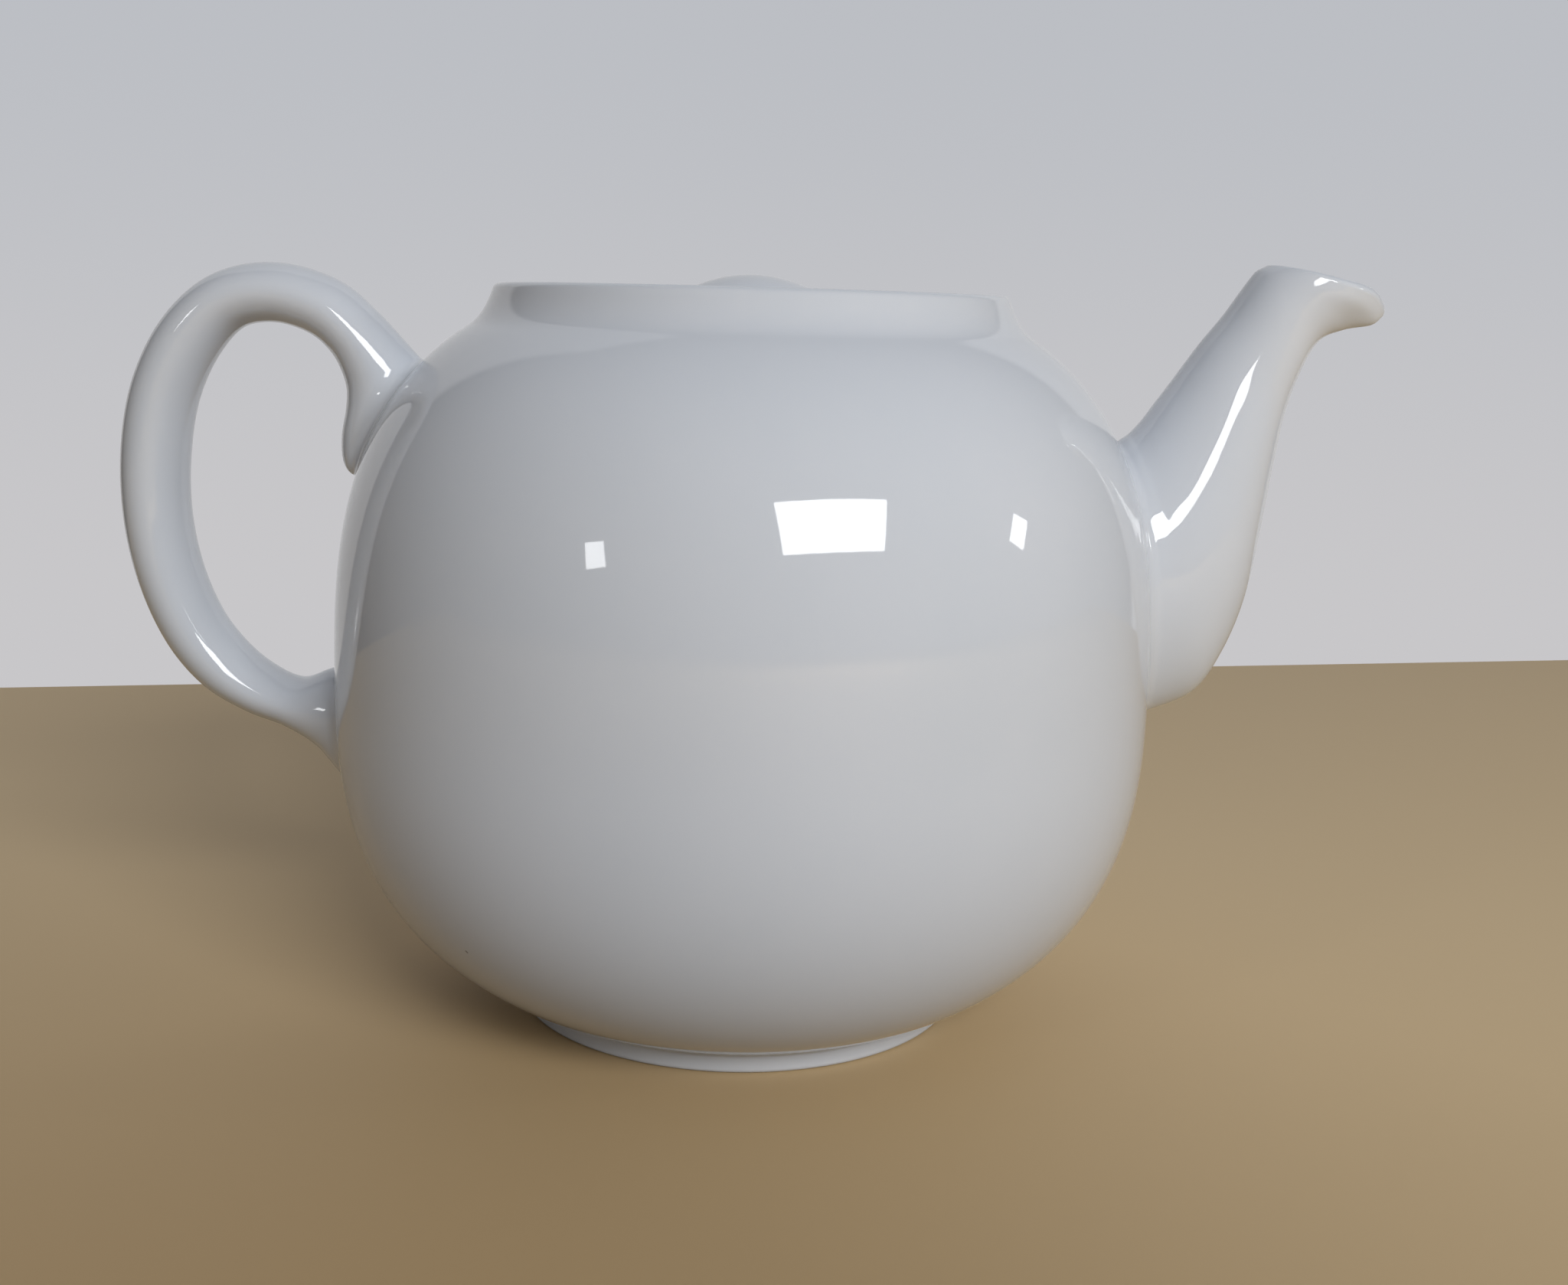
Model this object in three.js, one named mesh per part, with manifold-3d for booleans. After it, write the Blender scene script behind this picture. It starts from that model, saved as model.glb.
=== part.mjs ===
// Porcelain teapot in millimetres, +Z up, spout towards +X and handle towards -X.
import * as THREE from 'three';
import { mergeVertices } from 'three/addons/utils/BufferGeometryUtils.js';
import Module from 'manifold-3d';

const wasm = await Module();
wasm.setup();

// Body outside
const bodyRadius = 75;
const rimHeight = 132.9;
const rimRadius = 46.7;
const footRadius = 40.4;
const footHeight = 3;
const equatorHeight = 0.447 * rimHeight;
const lowerPower = 2.518;
const upperPower = 2.85;
const shoulderRadius = rimRadius + 4.3;
const shoulderHeight = rimHeight - 7.6;
const rimRound = 2;
const neckCurveIn = 1.55;
const neckCurveUp = 1;

// Body inside and foot
const wall = 4;
const floorThickness = 4.5;
const footRecess = 2.5;
const footWidth = 4.4;
const footEdge = 0.6;
const footFillet = 2;

// Gallery that carries the sunk lid
const seatDepth = 12.9;
const collarWall = 4.7;
const ledgeWidth = 5;
const ledgeThickness = 4;
const seatHeight = rimHeight - seatDepth;
const collarBore = rimRadius - collarWall;
const ledgeBore = collarBore - ledgeWidth;
const hangerRadius = collarBore + wall;

// Clearances
const jointGap = 0.3;
const seatGap = 0.3;
const lidGap = 0.8;
const flangeGap = 0.8;

// Lid
const lidEdge = 3.3;
const lidDome = 1.4;
const flangeDepth = 12;
const flangeWall = 3.5;
const edgeRound = 0.5;
const ventRadius = 1.2;
const lidRadius = collarBore - lidGap;
const flangeRadius = ledgeBore - flangeGap;
const flangeBore = flangeRadius - flangeWall;
const lidBottom = seatHeight + seatGap;
const lidShoulder = lidBottom + lidEdge;
const lidTop = lidShoulder + lidDome;
const ventReach = 22.4;

// Knob
const knobRise = 2.7;
const knobRadius = 12.5;
const knobBallRadius = 25;
const knobEdge = 1;
const knobSide = 1.7;
const knobWaist = 6.4;
const knobFoot = 8.6;
const knobFootRise = 0.6;
const knobLipDrop = 0.4;
const knobBottom = lidTop + jointGap;
const knobTop = rimHeight + knobRise;

// Spout
const spoutReach = 115.4;
const spoutHalfWidth = 18.3;
const spoutWall = 3.4;
const lipWall = 2;
const lipLift = 1.1;
const noseRise = 1.5;
const strainerHole = 1.2;
const strainerPitch = 4.8;

// Handle
const handleReach = 115.4;
const handleHalfDepth = 5.6;
const handleHalfWidth = 8.5;

// Facets round each piece
const bodyFacets = 56;
const lidFacets = 40;
const knobFacets = 28;
const spoutFacets = 24;
const spoutSteps = 24;
const handleFacets = 16;
const handleSteps = 46;
const strainerFacets = 8;

// Keeps corners that coincide as one point and drops faces with no area.
function cleanGeometry(geometry) {
  const bare = geometry.clone();
  bare.deleteAttribute('normal');
  bare.deleteAttribute('uv');
  const welded = mergeVertices(bare, 1e-4);
  const source = welded.index.array;
  const kept = [];
  for (let i = 0; i < source.length; i += 3) {
    const [a, b, c] = [source[i], source[i + 1], source[i + 2]];
    if (a !== b && b !== c && c !== a) kept.push(a, b, c);
  }
  welded.setIndex(kept);
  return welded;
}

// Six times the signed volume, used to face a closed surface outwards.
function signedVolume(geometry) {
  const position = geometry.getAttribute('position');
  const index = geometry.index.array;
  const a = new THREE.Vector3();
  const b = new THREE.Vector3();
  const c = new THREE.Vector3();
  let total = 0;
  for (let i = 0; i < index.length; i += 3) {
    a.fromBufferAttribute(position, index[i]);
    b.fromBufferAttribute(position, index[i + 1]);
    c.fromBufferAttribute(position, index[i + 2]);
    total += a.dot(b.cross(c));
  }
  return total;
}

function toSolid(geometry) {
  const clean = cleanGeometry(geometry);
  const triVerts = Uint32Array.from(clean.index.array);
  if (signedVolume(clean) < 0) {
    for (let i = 0; i < triVerts.length; i += 3) {
      [triVerts[i + 1], triVerts[i + 2]] = [triVerts[i + 2], triVerts[i + 1]];
    }
  }
  const vertProperties = Float32Array.from(clean.getAttribute('position').array);
  return new wasm.Manifold(new wasm.Mesh({ numProp: 3, vertProperties, triVerts }));
}

function toGeometry(solid) {
  const mesh = solid.getMesh();
  const geometry = new THREE.BufferGeometry();
  geometry.setAttribute('position', new THREE.BufferAttribute(mesh.vertProperties, 3));
  geometry.setIndex(new THREE.BufferAttribute(mesh.triVerts, 1));
  geometry.computeVertexNormals();
  return geometry;
}

// Turns a closed outline of (radius, height) points about the upright axis.
function turned(outline, facets) {
  const points = outline.map(([r, z]) => new THREE.Vector2(Math.max(r, 0), z));
  const geometry = new THREE.LatheGeometry(points, facets);
  geometry.rotateX(Math.PI / 2);
  return geometry;
}

// Height of a curve's full reach so that it passes through one given point.
function reachThrough(rise, radius, fullRadius, power) {
  return rise / (1 - (radius / fullRadius) ** power) ** (1 / power);
}

// Points of a rounded-square arc, from one radius to another, seen in the upright plane.
function roundedArc(fullRadius, reach, power, fromRadius, toRadius, count) {
  const angle = (radius) => Math.acos(Math.min(1, radius / fullRadius) ** (power / 2));
  const start = angle(fromRadius);
  const end = angle(toRadius);
  const points = [];
  for (let i = 0; i <= count; i += 1) {
    const a = start + ((end - start) * i) / count;
    const radius = fullRadius * Math.cos(a) ** (2 / power);
    points.push([radius, equatorHeight + reach * Math.sin(a) ** (2 / power)]);
  }
  return points;
}

function softCurve(from, middle, to, count) {
  const points = [];
  for (let i = 1; i <= count; i += 1) {
    const t = i / count;
    const u = 1 - t;
    points.push([0, 1].map((k) => u * u * from[k] + 2 * u * t * middle[k] + t * t * to[k]));
  }
  return points;
}

// Points of a quarter circle in the upright plane, turning up and over from a first angle.
function quarterArc(centreRadius, centreHeight, radius, firstAngle) {
  return [0, 1, 2, 3].map((k) => {
    const a = firstAngle + (k * Math.PI) / 6;
    return [centreRadius + radius * Math.cos(a), centreHeight + radius * Math.sin(a)];
  });
}

const lowerReach = reachThrough(equatorHeight - footHeight, footRadius, bodyRadius, lowerPower);
const upperReach = reachThrough(shoulderHeight - equatorHeight, shoulderRadius, bodyRadius, upperPower);

// Outside of the body from the foot to the rim, moved outwards by a gap.
function outerOutline(gap) {
  const full = bodyRadius + gap;
  const below = roundedArc(full, -(lowerReach + gap), lowerPower, footRadius, full, 10);
  const above = roundedArc(full, upperReach + gap, upperPower, full, shoulderRadius, 12);
  return [...below, ...above.slice(1)];
}

function bodySolid() {
  const shoulder = [shoulderRadius, shoulderHeight];
  const rimSide = [rimRadius, rimHeight - rimRound];
  const bend = [shoulderRadius - neckCurveIn, shoulderHeight + neckCurveUp];
  const floorHeight = footRecess + floorThickness;
  const innerRadius = bodyRadius - wall;
  const innerReach = upperReach - wall;
  const hangerTop = equatorHeight
    + innerReach * (1 - (hangerRadius / innerRadius) ** upperPower) ** (1 / upperPower);
  const above = roundedArc(innerRadius, innerReach, upperPower, hangerRadius, innerRadius, 7);
  const below = roundedArc(innerRadius, floorHeight - equatorHeight, lowerPower, innerRadius, 0, 9);
  const footBore = footRadius - footWidth;
  const outline = [
    [0, footRecess],
    [footBore - footFillet, footRecess],
    [footBore, footEdge],
    [footBore + footEdge, 0],
    [footRadius - footEdge, 0],
    [footRadius, footEdge],
    ...outerOutline(0),
    ...softCurve(shoulder, bend, rimSide, 3),
    ...quarterArc(rimRadius - rimRound, rimHeight - rimRound, rimRound, 0).slice(1),
    ...quarterArc(collarBore + rimRound, rimHeight - rimRound, rimRound, Math.PI / 2),
    [collarBore, seatHeight],
    [ledgeBore, seatHeight],
    [ledgeBore, seatHeight - ledgeThickness],
    [hangerRadius, seatHeight - ledgeThickness],
    [hangerRadius, hangerTop],
    ...above.slice(1),
    ...below.slice(1),
  ];
  return toSolid(turned(outline, bodyFacets));
}

// Filled body outside, a joint gap larger, that trims the spout and the handle.
function bodyTrimmer() {
  const shoulder = [shoulderRadius, shoulderHeight + jointGap];
  const outline = [[0, footHeight], ...outerOutline(jointGap), shoulder, [0, shoulderHeight + jointGap]];
  return toSolid(turned(outline, bodyFacets));
}

// A grid of rings skinned into a surface; a wrapped grid closes on itself, another gets end caps.
function skinned(rings, wrapped) {
  const around = rings[0].length;
  const positions = rings.flat().flatMap((p) => [p.x, p.y, p.z]);
  const index = [];
  const last = wrapped ? rings.length : rings.length - 1;
  for (let i = 0; i < last; i += 1) {
    const here = i * around;
    const next = ((i + 1) % rings.length) * around;
    for (let j = 0; j < around; j += 1) {
      const k = (j + 1) % around;
      index.push(here + j, next + j, next + k, here + j, next + k, here + k);
    }
  }
  if (!wrapped) {
    for (const [ring, turn] of [[0, false], [rings.length - 1, true]]) {
      const middle = new THREE.Vector3();
      rings[ring].forEach((p) => middle.add(p));
      middle.divideScalar(around);
      const centre = positions.length / 3;
      positions.push(middle.x, middle.y, middle.z);
      for (let j = 0; j < around; j += 1) {
        const a = ring * around + j;
        const b = ring * around + ((j + 1) % around);
        index.push(centre, turn ? b : a, turn ? a : b);
      }
    }
  }
  const geometry = new THREE.BufferGeometry();
  geometry.setAttribute('position', new THREE.Float32BufferAttribute(positions, 3));
  geometry.setIndex(index);
  return geometry;
}

// Smooth values between named stations, at evenly spaced steps from the first to the last.
function betweenStations(stations, steps) {
  const names = Object.keys(stations[0]);
  const at = (i) => stations[Math.min(Math.max(i, 0), stations.length - 1)];
  const result = [];
  for (let s = 0; s <= steps; s += 1) {
    const place = (s / steps) * (stations.length - 1);
    const i = Math.min(Math.floor(place), stations.length - 2);
    const t = place - i;
    const mixed = {};
    for (const name of names) {
      const [a, b, c, d] = [at(i - 1)[name], at(i)[name], at(i + 1)[name], at(i + 2)[name]];
      const bend = 2 * a - 5 * b + 4 * c - d;
      const twist = 3 * (b - c) + d - a;
      mixed[name] = b + 0.5 * t * (c - a + t * (bend + t * twist));
    }
    result.push(mixed);
  }
  return result;
}

// Spout stations: back and front edge as shares of the reach and of the rim height, then shares of the
// half width, of the lift of the side edges, of the front's narrowing into the beak, and of its nose.
const spoutStations = [
  { backX: 0.520, backZ: 0.740, frontX: 0.590, frontZ: 0.405, half: 1.011, lift: 0, beak: 0, nose: 0 },
  { backX: 0.590, backZ: 0.803, frontX: 0.668, frontZ: 0.428, half: 1.000, lift: 0, beak: 0, nose: 0 },
  { backX: 0.611, backZ: 0.818, frontX: 0.735, frontZ: 0.456, half: 0.951, lift: 0, beak: 0, nose: 0 },
  { backX: 0.631, backZ: 0.838, frontX: 0.777, frontZ: 0.513, half: 0.891, lift: 0, beak: 0, nose: 0 },
  { backX: 0.648, backZ: 0.860, frontX: 0.808, frontZ: 0.589, half: 0.817, lift: 0, beak: 0, nose: 0 },
  { backX: 0.668, backZ: 0.885, frontX: 0.825, frontZ: 0.679, half: 0.730, lift: 0, beak: 0, nose: 0 },
  { backX: 0.691, backZ: 0.915, frontX: 0.839, frontZ: 0.774, half: 0.637, lift: 0, beak: 0, nose: 0 },
  { backX: 0.717, backZ: 0.948, frontX: 0.852, frontZ: 0.848, half: 0.555, lift: 0, beak: 0, nose: 0 },
  { backX: 0.747, backZ: 0.982, frontX: 0.870, frontZ: 0.902, half: 0.511, lift: 0, beak: 0, nose: 0 },
  { backX: 0.775, backZ: 1.015, frontX: 0.897, frontZ: 0.949, half: 0.489, lift: 0.2, beak: 0.05, nose: 0 },
  { backX: 0.790, backZ: 1.032, frontX: 0.938, frontZ: 0.967, half: 0.489, lift: 0.5, beak: 0.2, nose: 0.4 },
  { backX: 0.799, backZ: 1.042, frontX: 0.983, frontZ: 0.976, half: 0.495, lift: 0.9, beak: 0.3, nose: 0.8 },
  { backX: 0.806, backZ: 1.050, frontX: 1.000, frontZ: 0.988, half: 0.497, lift: 1, beak: 0.4, nose: 1 },
];

// Hump of the beak's nose over the spout's depth, with a top of one near the front.
function noseShape(share) {
  const top = 6 / 7;
  return (share ** 6 * (1 - share)) / (top ** 6 * (1 - top));
}

function spoutSolid() {
  const stations = betweenStations(spoutStations, spoutSteps);
  const outer = stations.map((s) => {
    const ring = [];
    for (let j = 0; j < spoutFacets; j += 1) {
      const a = (j / spoutFacets) * 2 * Math.PI;
      const share = (1 - Math.cos(a)) / 2;
      const x = spoutReach * (s.backX + (s.frontX - s.backX) * share);
      const y = spoutHalfWidth * s.half * Math.sin(a) * (1 - s.beak * share ** 3);
      const z = rimHeight * (s.backZ + (s.frontZ - s.backZ) * share);
      const lift = lipLift * s.lift * Math.sin(a) ** 2 + noseRise * s.nose * noseShape(share);
      ring.push(new THREE.Vector3(x, y, z + lift));
    }
    return ring;
  });
  const count = outer.length;
  const inner = outer.map((ring, i) => ring.map((point, j) => {
    const along = outer[Math.min(i + 1, count - 1)][j].clone().sub(outer[Math.max(i - 1, 0)][j]);
    const around = ring[(j + 1) % spoutFacets].clone().sub(ring[(j + spoutFacets - 1) % spoutFacets]);
    const inward = around.cross(along).normalize();
    const thickness = spoutWall + (lipWall - spoutWall) * (i / (count - 1)) ** 2;
    return point.clone().addScaledVector(inward, thickness);
  }));
  return toSolid(skinned([...outer, ...inner.reverse()], true)).subtract(bodyTrimmer());
}

// Handle stations: centre as shares of the reach and of the rim height, shares of the half depth and of
// the half width, and the lean of the depth line in degrees, turned up from level towards the body.
const handleStations = [
  { out: 0.526, up: 0.767, depth: 2.12, wide: 0.80, lean: 25 },
  { out: 0.544, up: 0.785, depth: 2.21, wide: 0.90, lean: 30 },
  { out: 0.560, up: 0.807, depth: 2.13, wide: 0.97, lean: 34 },
  { out: 0.572, up: 0.834, depth: 1.88, wide: 1.01, lean: 36 },
  { out: 0.579, up: 0.860, depth: 1.46, wide: 1.02, lean: 34 },
  { out: 0.592, up: 0.889, depth: 1.17, wide: 1.01, lean: 37 },
  { out: 0.622, up: 0.927, depth: 0.99, wide: 1.00, lean: 42 },
  { out: 0.671, up: 0.962, depth: 0.98, wide: 1.00, lean: 61 },
  { out: 0.745, up: 0.979, depth: 0.96, wide: 1.00, lean: 87 },
  { out: 0.820, up: 0.966, depth: 0.95, wide: 1.00, lean: 117 },
  { out: 0.879, up: 0.918, depth: 1.01, wide: 1.00, lean: 144 },
  { out: 0.921, up: 0.847, depth: 1.04, wide: 1.00, lean: 163 },
  { out: 0.941, up: 0.764, depth: 1.05, wide: 1.00, lean: 174 },
  { out: 0.943, up: 0.675, depth: 1.03, wide: 1.00, lean: 183 },
  { out: 0.926, up: 0.591, depth: 1.01, wide: 1.00, lean: 196 },
  { out: 0.891, up: 0.516, depth: 0.99, wide: 0.99, lean: 210 },
  { out: 0.844, up: 0.463, depth: 0.96, wide: 0.97, lean: 227 },
  { out: 0.789, up: 0.429, depth: 0.85, wide: 0.96, lean: 242 },
  { out: 0.734, up: 0.410, depth: 0.83, wide: 1.00, lean: 255 },
  { out: 0.685, up: 0.402, depth: 1.31, wide: 1.14, lean: 263 },
  { out: 0.640, up: 0.386, depth: 1.98, wide: 1.34, lean: 265 },
  { out: 0.590, up: 0.378, depth: 2.35, wide: 1.50, lean: 265 },
];

function handleSolid() {
  const stations = betweenStations(handleStations, handleSteps);
  const rings = stations.map((s) => {
    const lean = THREE.MathUtils.degToRad(s.lean);
    const ring = [];
    for (let j = 0; j < handleFacets; j += 1) {
      const a = (j / handleFacets) * 2 * Math.PI;
      const offset = handleHalfDepth * s.depth * Math.cos(a);
      const x = -handleReach * s.out + offset * Math.cos(lean);
      const y = handleHalfWidth * s.wide * Math.sin(a);
      const z = rimHeight * s.up + offset * Math.sin(lean);
      ring.push(new THREE.Vector3(x, y, z));
    }
    return ring;
  });
  return toSolid(skinned(rings, false)).subtract(bodyTrimmer());
}

function uprightPin(radius, bottom, top, x, facets) {
  const geometry = new THREE.CylinderGeometry(radius, radius, top - bottom, facets);
  geometry.rotateX(Math.PI / 2);
  geometry.translate(x, 0, (top + bottom) / 2);
  return toSolid(geometry);
}

// Pierces the wall behind the spout with rows of holes, offset like a honeycomb.
function strainedBody() {
  const root = spoutStations[1];
  const middle = (rimHeight * (root.backZ + root.frontZ)) / 2;
  const rowPitch = (strainerPitch * Math.sqrt(3)) / 2;
  const rows = [3, 4, 5, 4, 5, 4, 3];
  const pinLength = 6 * wall;
  let solid = bodySolid();
  rows.forEach((count, row) => {
    const z = middle + (row - (rows.length - 1) / 2) * rowPitch;
    for (let k = 0; k < count; k += 1) {
      const y = (k - (count - 1) / 2) * strainerPitch;
      const pin = new THREE.CylinderGeometry(strainerHole, strainerHole, pinLength, strainerFacets);
      pin.rotateZ(Math.PI / 2);
      pin.translate(bodyRadius - wall / 2, y, z);
      solid = solid.subtract(toSolid(pin));
    }
  });
  return solid;
}

function lidSolid() {
  const dome = softCurve([lidRadius - edgeRound, lidShoulder], [lidRadius / 2, lidTop], [0, lidTop], 5);
  const outline = [
    [0, lidBottom],
    [flangeBore, lidBottom],
    [flangeBore, lidBottom - flangeDepth + edgeRound],
    [flangeBore + edgeRound, lidBottom - flangeDepth],
    [flangeRadius - edgeRound, lidBottom - flangeDepth],
    [flangeRadius, lidBottom - flangeDepth + edgeRound],
    [flangeRadius, lidBottom],
    [lidRadius - edgeRound, lidBottom],
    [lidRadius, lidBottom + edgeRound],
    [lidRadius, lidShoulder - edgeRound],
    [lidRadius - edgeRound, lidShoulder],
    ...dome,
  ];
  const vent = uprightPin(ventRadius, lidBottom - wall, lidTop + wall, -ventReach, strainerFacets);
  return toSolid(turned(outline, lidFacets)).subtract(vent);
}

function knobSolid() {
  const ballDrop = (radius) => knobBallRadius - Math.sqrt(knobBallRadius ** 2 - radius ** 2);
  const capRadius = knobRadius - knobEdge;
  const capHeight = knobTop - ballDrop(capRadius);
  const underside = capHeight - knobSide;
  const waistHeight = (knobBottom + underside) / 2;
  const cap = [1, 0.75, 0.5, 0.25, 0].map((share) => {
    const radius = capRadius * share;
    return [radius, knobTop - ballDrop(radius)];
  });
  const outline = [
    [0, knobBottom],
    [knobFoot, knobBottom],
    ...softCurve([knobFoot, knobBottom], [knobWaist, knobBottom + knobFootRise], [knobWaist, waistHeight], 4),
    ...softCurve([knobWaist, waistHeight], [knobWaist, underside - knobLipDrop], [capRadius, underside], 4),
    [knobRadius, (capHeight + underside) / 2],
    ...cap,
  ];
  return toSolid(turned(outline, knobFacets));
}

const group = new THREE.Group();

function addPiece(name, solid, colour, roughness) {
  const material = new THREE.MeshStandardMaterial({ color: colour, roughness, metalness: 0 });
  const mesh = new THREE.Mesh(toGeometry(solid), material);
  mesh.name = name;
  group.add(mesh);
}

addPiece('pot_body', strainedBody(), '#e6e8eb', 0.12);
addPiece('spout', spoutSolid(), '#e6e8eb', 0.12);
addPiece('handle', handleSolid(), '#e6e8eb', 0.12);
addPiece('lid', lidSolid(), '#e6e8eb', 0.12);
addPiece('lid_knob', knobSolid(), '#e6e8eb', 0.12);

export default group;
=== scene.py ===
"""White porcelain teapot with a sunk lid, a beaked spout and an ear-shaped handle."""
import math

import bpy
import numpy as np
from mathutils import Matrix, Vector


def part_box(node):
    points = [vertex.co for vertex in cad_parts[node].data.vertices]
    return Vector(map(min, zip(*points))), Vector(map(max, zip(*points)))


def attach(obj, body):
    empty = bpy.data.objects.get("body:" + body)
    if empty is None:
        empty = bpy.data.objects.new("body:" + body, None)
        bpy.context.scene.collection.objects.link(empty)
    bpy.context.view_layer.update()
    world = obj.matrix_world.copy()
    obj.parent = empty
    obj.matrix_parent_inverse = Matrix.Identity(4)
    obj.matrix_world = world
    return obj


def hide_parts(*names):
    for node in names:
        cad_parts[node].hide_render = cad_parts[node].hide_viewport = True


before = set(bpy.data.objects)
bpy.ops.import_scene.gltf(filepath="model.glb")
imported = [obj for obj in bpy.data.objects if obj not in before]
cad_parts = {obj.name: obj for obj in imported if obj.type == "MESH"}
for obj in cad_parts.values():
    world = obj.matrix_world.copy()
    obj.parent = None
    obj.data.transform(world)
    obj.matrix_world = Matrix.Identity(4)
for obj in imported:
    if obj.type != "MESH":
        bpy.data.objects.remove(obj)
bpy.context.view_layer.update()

MM = 0.001

# Driving sizes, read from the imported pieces, in millimetres
body_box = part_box("pot_body")
lid_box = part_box("lid")
knob_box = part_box("lid_knob")
body_radius = body_box[1].x / MM
rim_height = body_box[1].z / MM
lid_radius = lid_box[1].x / MM
lid_top = lid_box[1].z / MM
flange_foot = lid_box[0].z / MM
knob_top = knob_box[1].z / MM
knob_radius = knob_box[1].x / MM

# Body sizes in millimetres
RIM_RADIUS = 46.7
FOOT_RADIUS = 40.4
FOOT_HEIGHT = 3.0
FOOT_WIDTH = 4.4
FOOT_RECESS = 2.5
FOOT_FLARE = 1.6
FLOOR_HEIGHT = 7.0
WALL = 4.0
EQUATOR = 0.447 * rim_height
LOWER_POWER = 2.518
UPPER_POWER = 2.85
SHOULDER_RADIUS = RIM_RADIUS + 4.3
SHOULDER_HEIGHT = rim_height - 7.6
RIM_ROUND = 1.5
RIM_LEAN = 0.75
RIM_SIDE = 2.0
NECK_CURVE_IN = 2.57
NECK_CURVE_UP = 1.66
SEAT_HEIGHT = rim_height - 12.9
COLLAR_BORE = RIM_RADIUS - 4.7
LEDGE_BORE = COLLAR_BORE - 5.0
LEDGE_THICKNESS = 4.0
HANGER_RADIUS = COLLAR_BORE + WALL

# Small steps at the corners of the rim and of the foot ring, in millimetres
RIM_TOP_IN = 0.5
FOOT_NECK_OUT = 0.3
FOOT_SIDE_IN = 0.2
FOOT_SIDE_UP = 0.1
FOOT_BORE_IN = 1.5
FOOT_BORE_OUT = 0.4

# Lid sizes in millimetres
LID_BOTTOM = SEAT_HEIGHT + 0.3
LID_SHOULDER = LID_BOTTOM + 3.3
LID_EDGE = 1.4
LID_EDGE_UP = 0.15
LID_BEND = 0.5
FLANGE_RADIUS = LEDGE_BORE - 0.8
FLANGE_WALL = 3.5
VENT_RADIUS = 1.2
VENT_REACH = 22.4
VENT_MIDDLE = LID_BOTTOM + 2.0
VENT_PIN_LENGTH = 12.0

# Knob sizes in millimetres
KNOB_BALL_RADIUS = 25.0
KNOB_EDGE = 1.0
KNOB_SIDE = 1.7
KNOB_BULGE = 0.35
KNOB_ROUND = 1.2
KNOB_WAIST = 6.4
KNOB_FOOT = 10.2
KNOB_SINK = 0.28
STEM_BEND_OUT = 0.1
STEM_BEND_LOW = 0.15
STEM_BEND_HIGH = 0.5

# Glaze fillets where the spout and the handle join the body: at the outline, and what the sides have more
EDGE_FILLET = 1.2
SPOUT_SIDE_FILLET = 1.2
HANDLE_HIGH_FILLET = 2.4
HANDLE_LOW_FILLET = 1.2
FILLET_SINK = 0.012
TUCK_DEPTH = 0.15
TUCK_REACH = 0.6

# Spout and strainer sizes in millimetres
SPOUT_REACH = 115.4
SPOUT_HALF_WIDTH = 18.3
SPOUT_WALL = 3.4
LIP_LIFT = 1.1
LIP_ROUND = 0.9
NOSE_RISE = 1.5
STRAINER_RADIUS = 1.2
STRAINER_PITCH = 4.8
STRAINER_PIN_LENGTH = 16.0
STRAINER_ROWS = (3, 4, 5, 4, 5, 4, 3)

# Handle sizes in millimetres
HANDLE_REACH = 115.4
HANDLE_HALF_DEPTH = 5.6
HANDLE_HALF_WIDTH = 8.5

# Facets round each piece
BODY_FACETS = 320
LID_FACETS = 200
KNOB_FACETS = 128
SPOUT_FACETS = 144
HANDLE_FACETS = 96
PIN_FACETS = 28

# Points along each curve
SPOUT_RINGS = 120
HANDLE_RINGS = 260
FILLET_RINGS = 14
LIP_RINGS = 12
OUTSIDE_POINTS = 60
INSIDE_POINTS = 40
NECK_POINTS = 14
LID_POINTS = 40
STEM_POINTS = 18
DOME_POINTS = 30

# Length of one step round a corner, in millimetres, and the share of a side that a corner may take
FOOT_STEP = 0.3
CORNER_STEP = 0.25
KNOB_STEP = 0.1
CORNER_SHARE = 0.49

# Search for the places where the spout and the handle leave the body, in stations
SEARCH_START = 0.2
SEARCH_END = 6.0
SEARCH_END_TAIL = 8.0
SEARCH_HALVINGS = 40
TINY = 1e-6
SLOPE_STEP = 1e-3
NEAR_TOP = 0.9999

# Glaze: colours of its drift and specks, scale and detail of each noise, strength and depth of each bump
GLAZE_LOW = (0.700, 0.742, 0.805)
GLAZE_HIGH = (0.735, 0.770, 0.830)
GLAZE_SPREAD = (0.3, 0.75)
SPECK_COLOUR = (0.36, 0.37, 0.40)
SPECK_SCALE = 48
SPECK_SIZE = 0.018
SPECK_RARITY = 0.72
DRIFT_NOISE = (22, 3)
WAVE_NOISE = (55, 1)
WAVE_BUMP = (0.2, 0.0001)
PEEL_NOISE = (700, 2)
PEEL_BUMP = (0.1, 0.00001)
GLAZE_ROUGHNESS = (0.02, 0.05)
GLAZE_IOR = 1.52

# Floor: its colour, and the painted shade that its front is multiplied by as seen and for diffuse light,
# with places in metres
FLOOR_COLOUR = (0.77, 0.585, 0.345)
FLOOR_DRIFT = 0.03
FLOOR_NOISE = (3, 2)
FLOOR_ROUGHNESS = 0.6
FLOOR_SPECULAR = 0.2
FLOOR_PAINTED_SHADE = (0.62, 0.55, 0.46)
BOUNCE_PAINTED_SHADE = (0.07, 0.05, 0.03)
PAINTED_SHADE_CENTRE = (-0.06, -0.20, 0.0)
PAINTED_SHADE_REACH = (0.0, 0.36)

# Floor's far edge behind the pot, its slant and its reach, in millimetres
FLOOR_END = 289.2
FLOOR_SLANT = 0.1935
FLOOR_REACH = 3000.0

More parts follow.
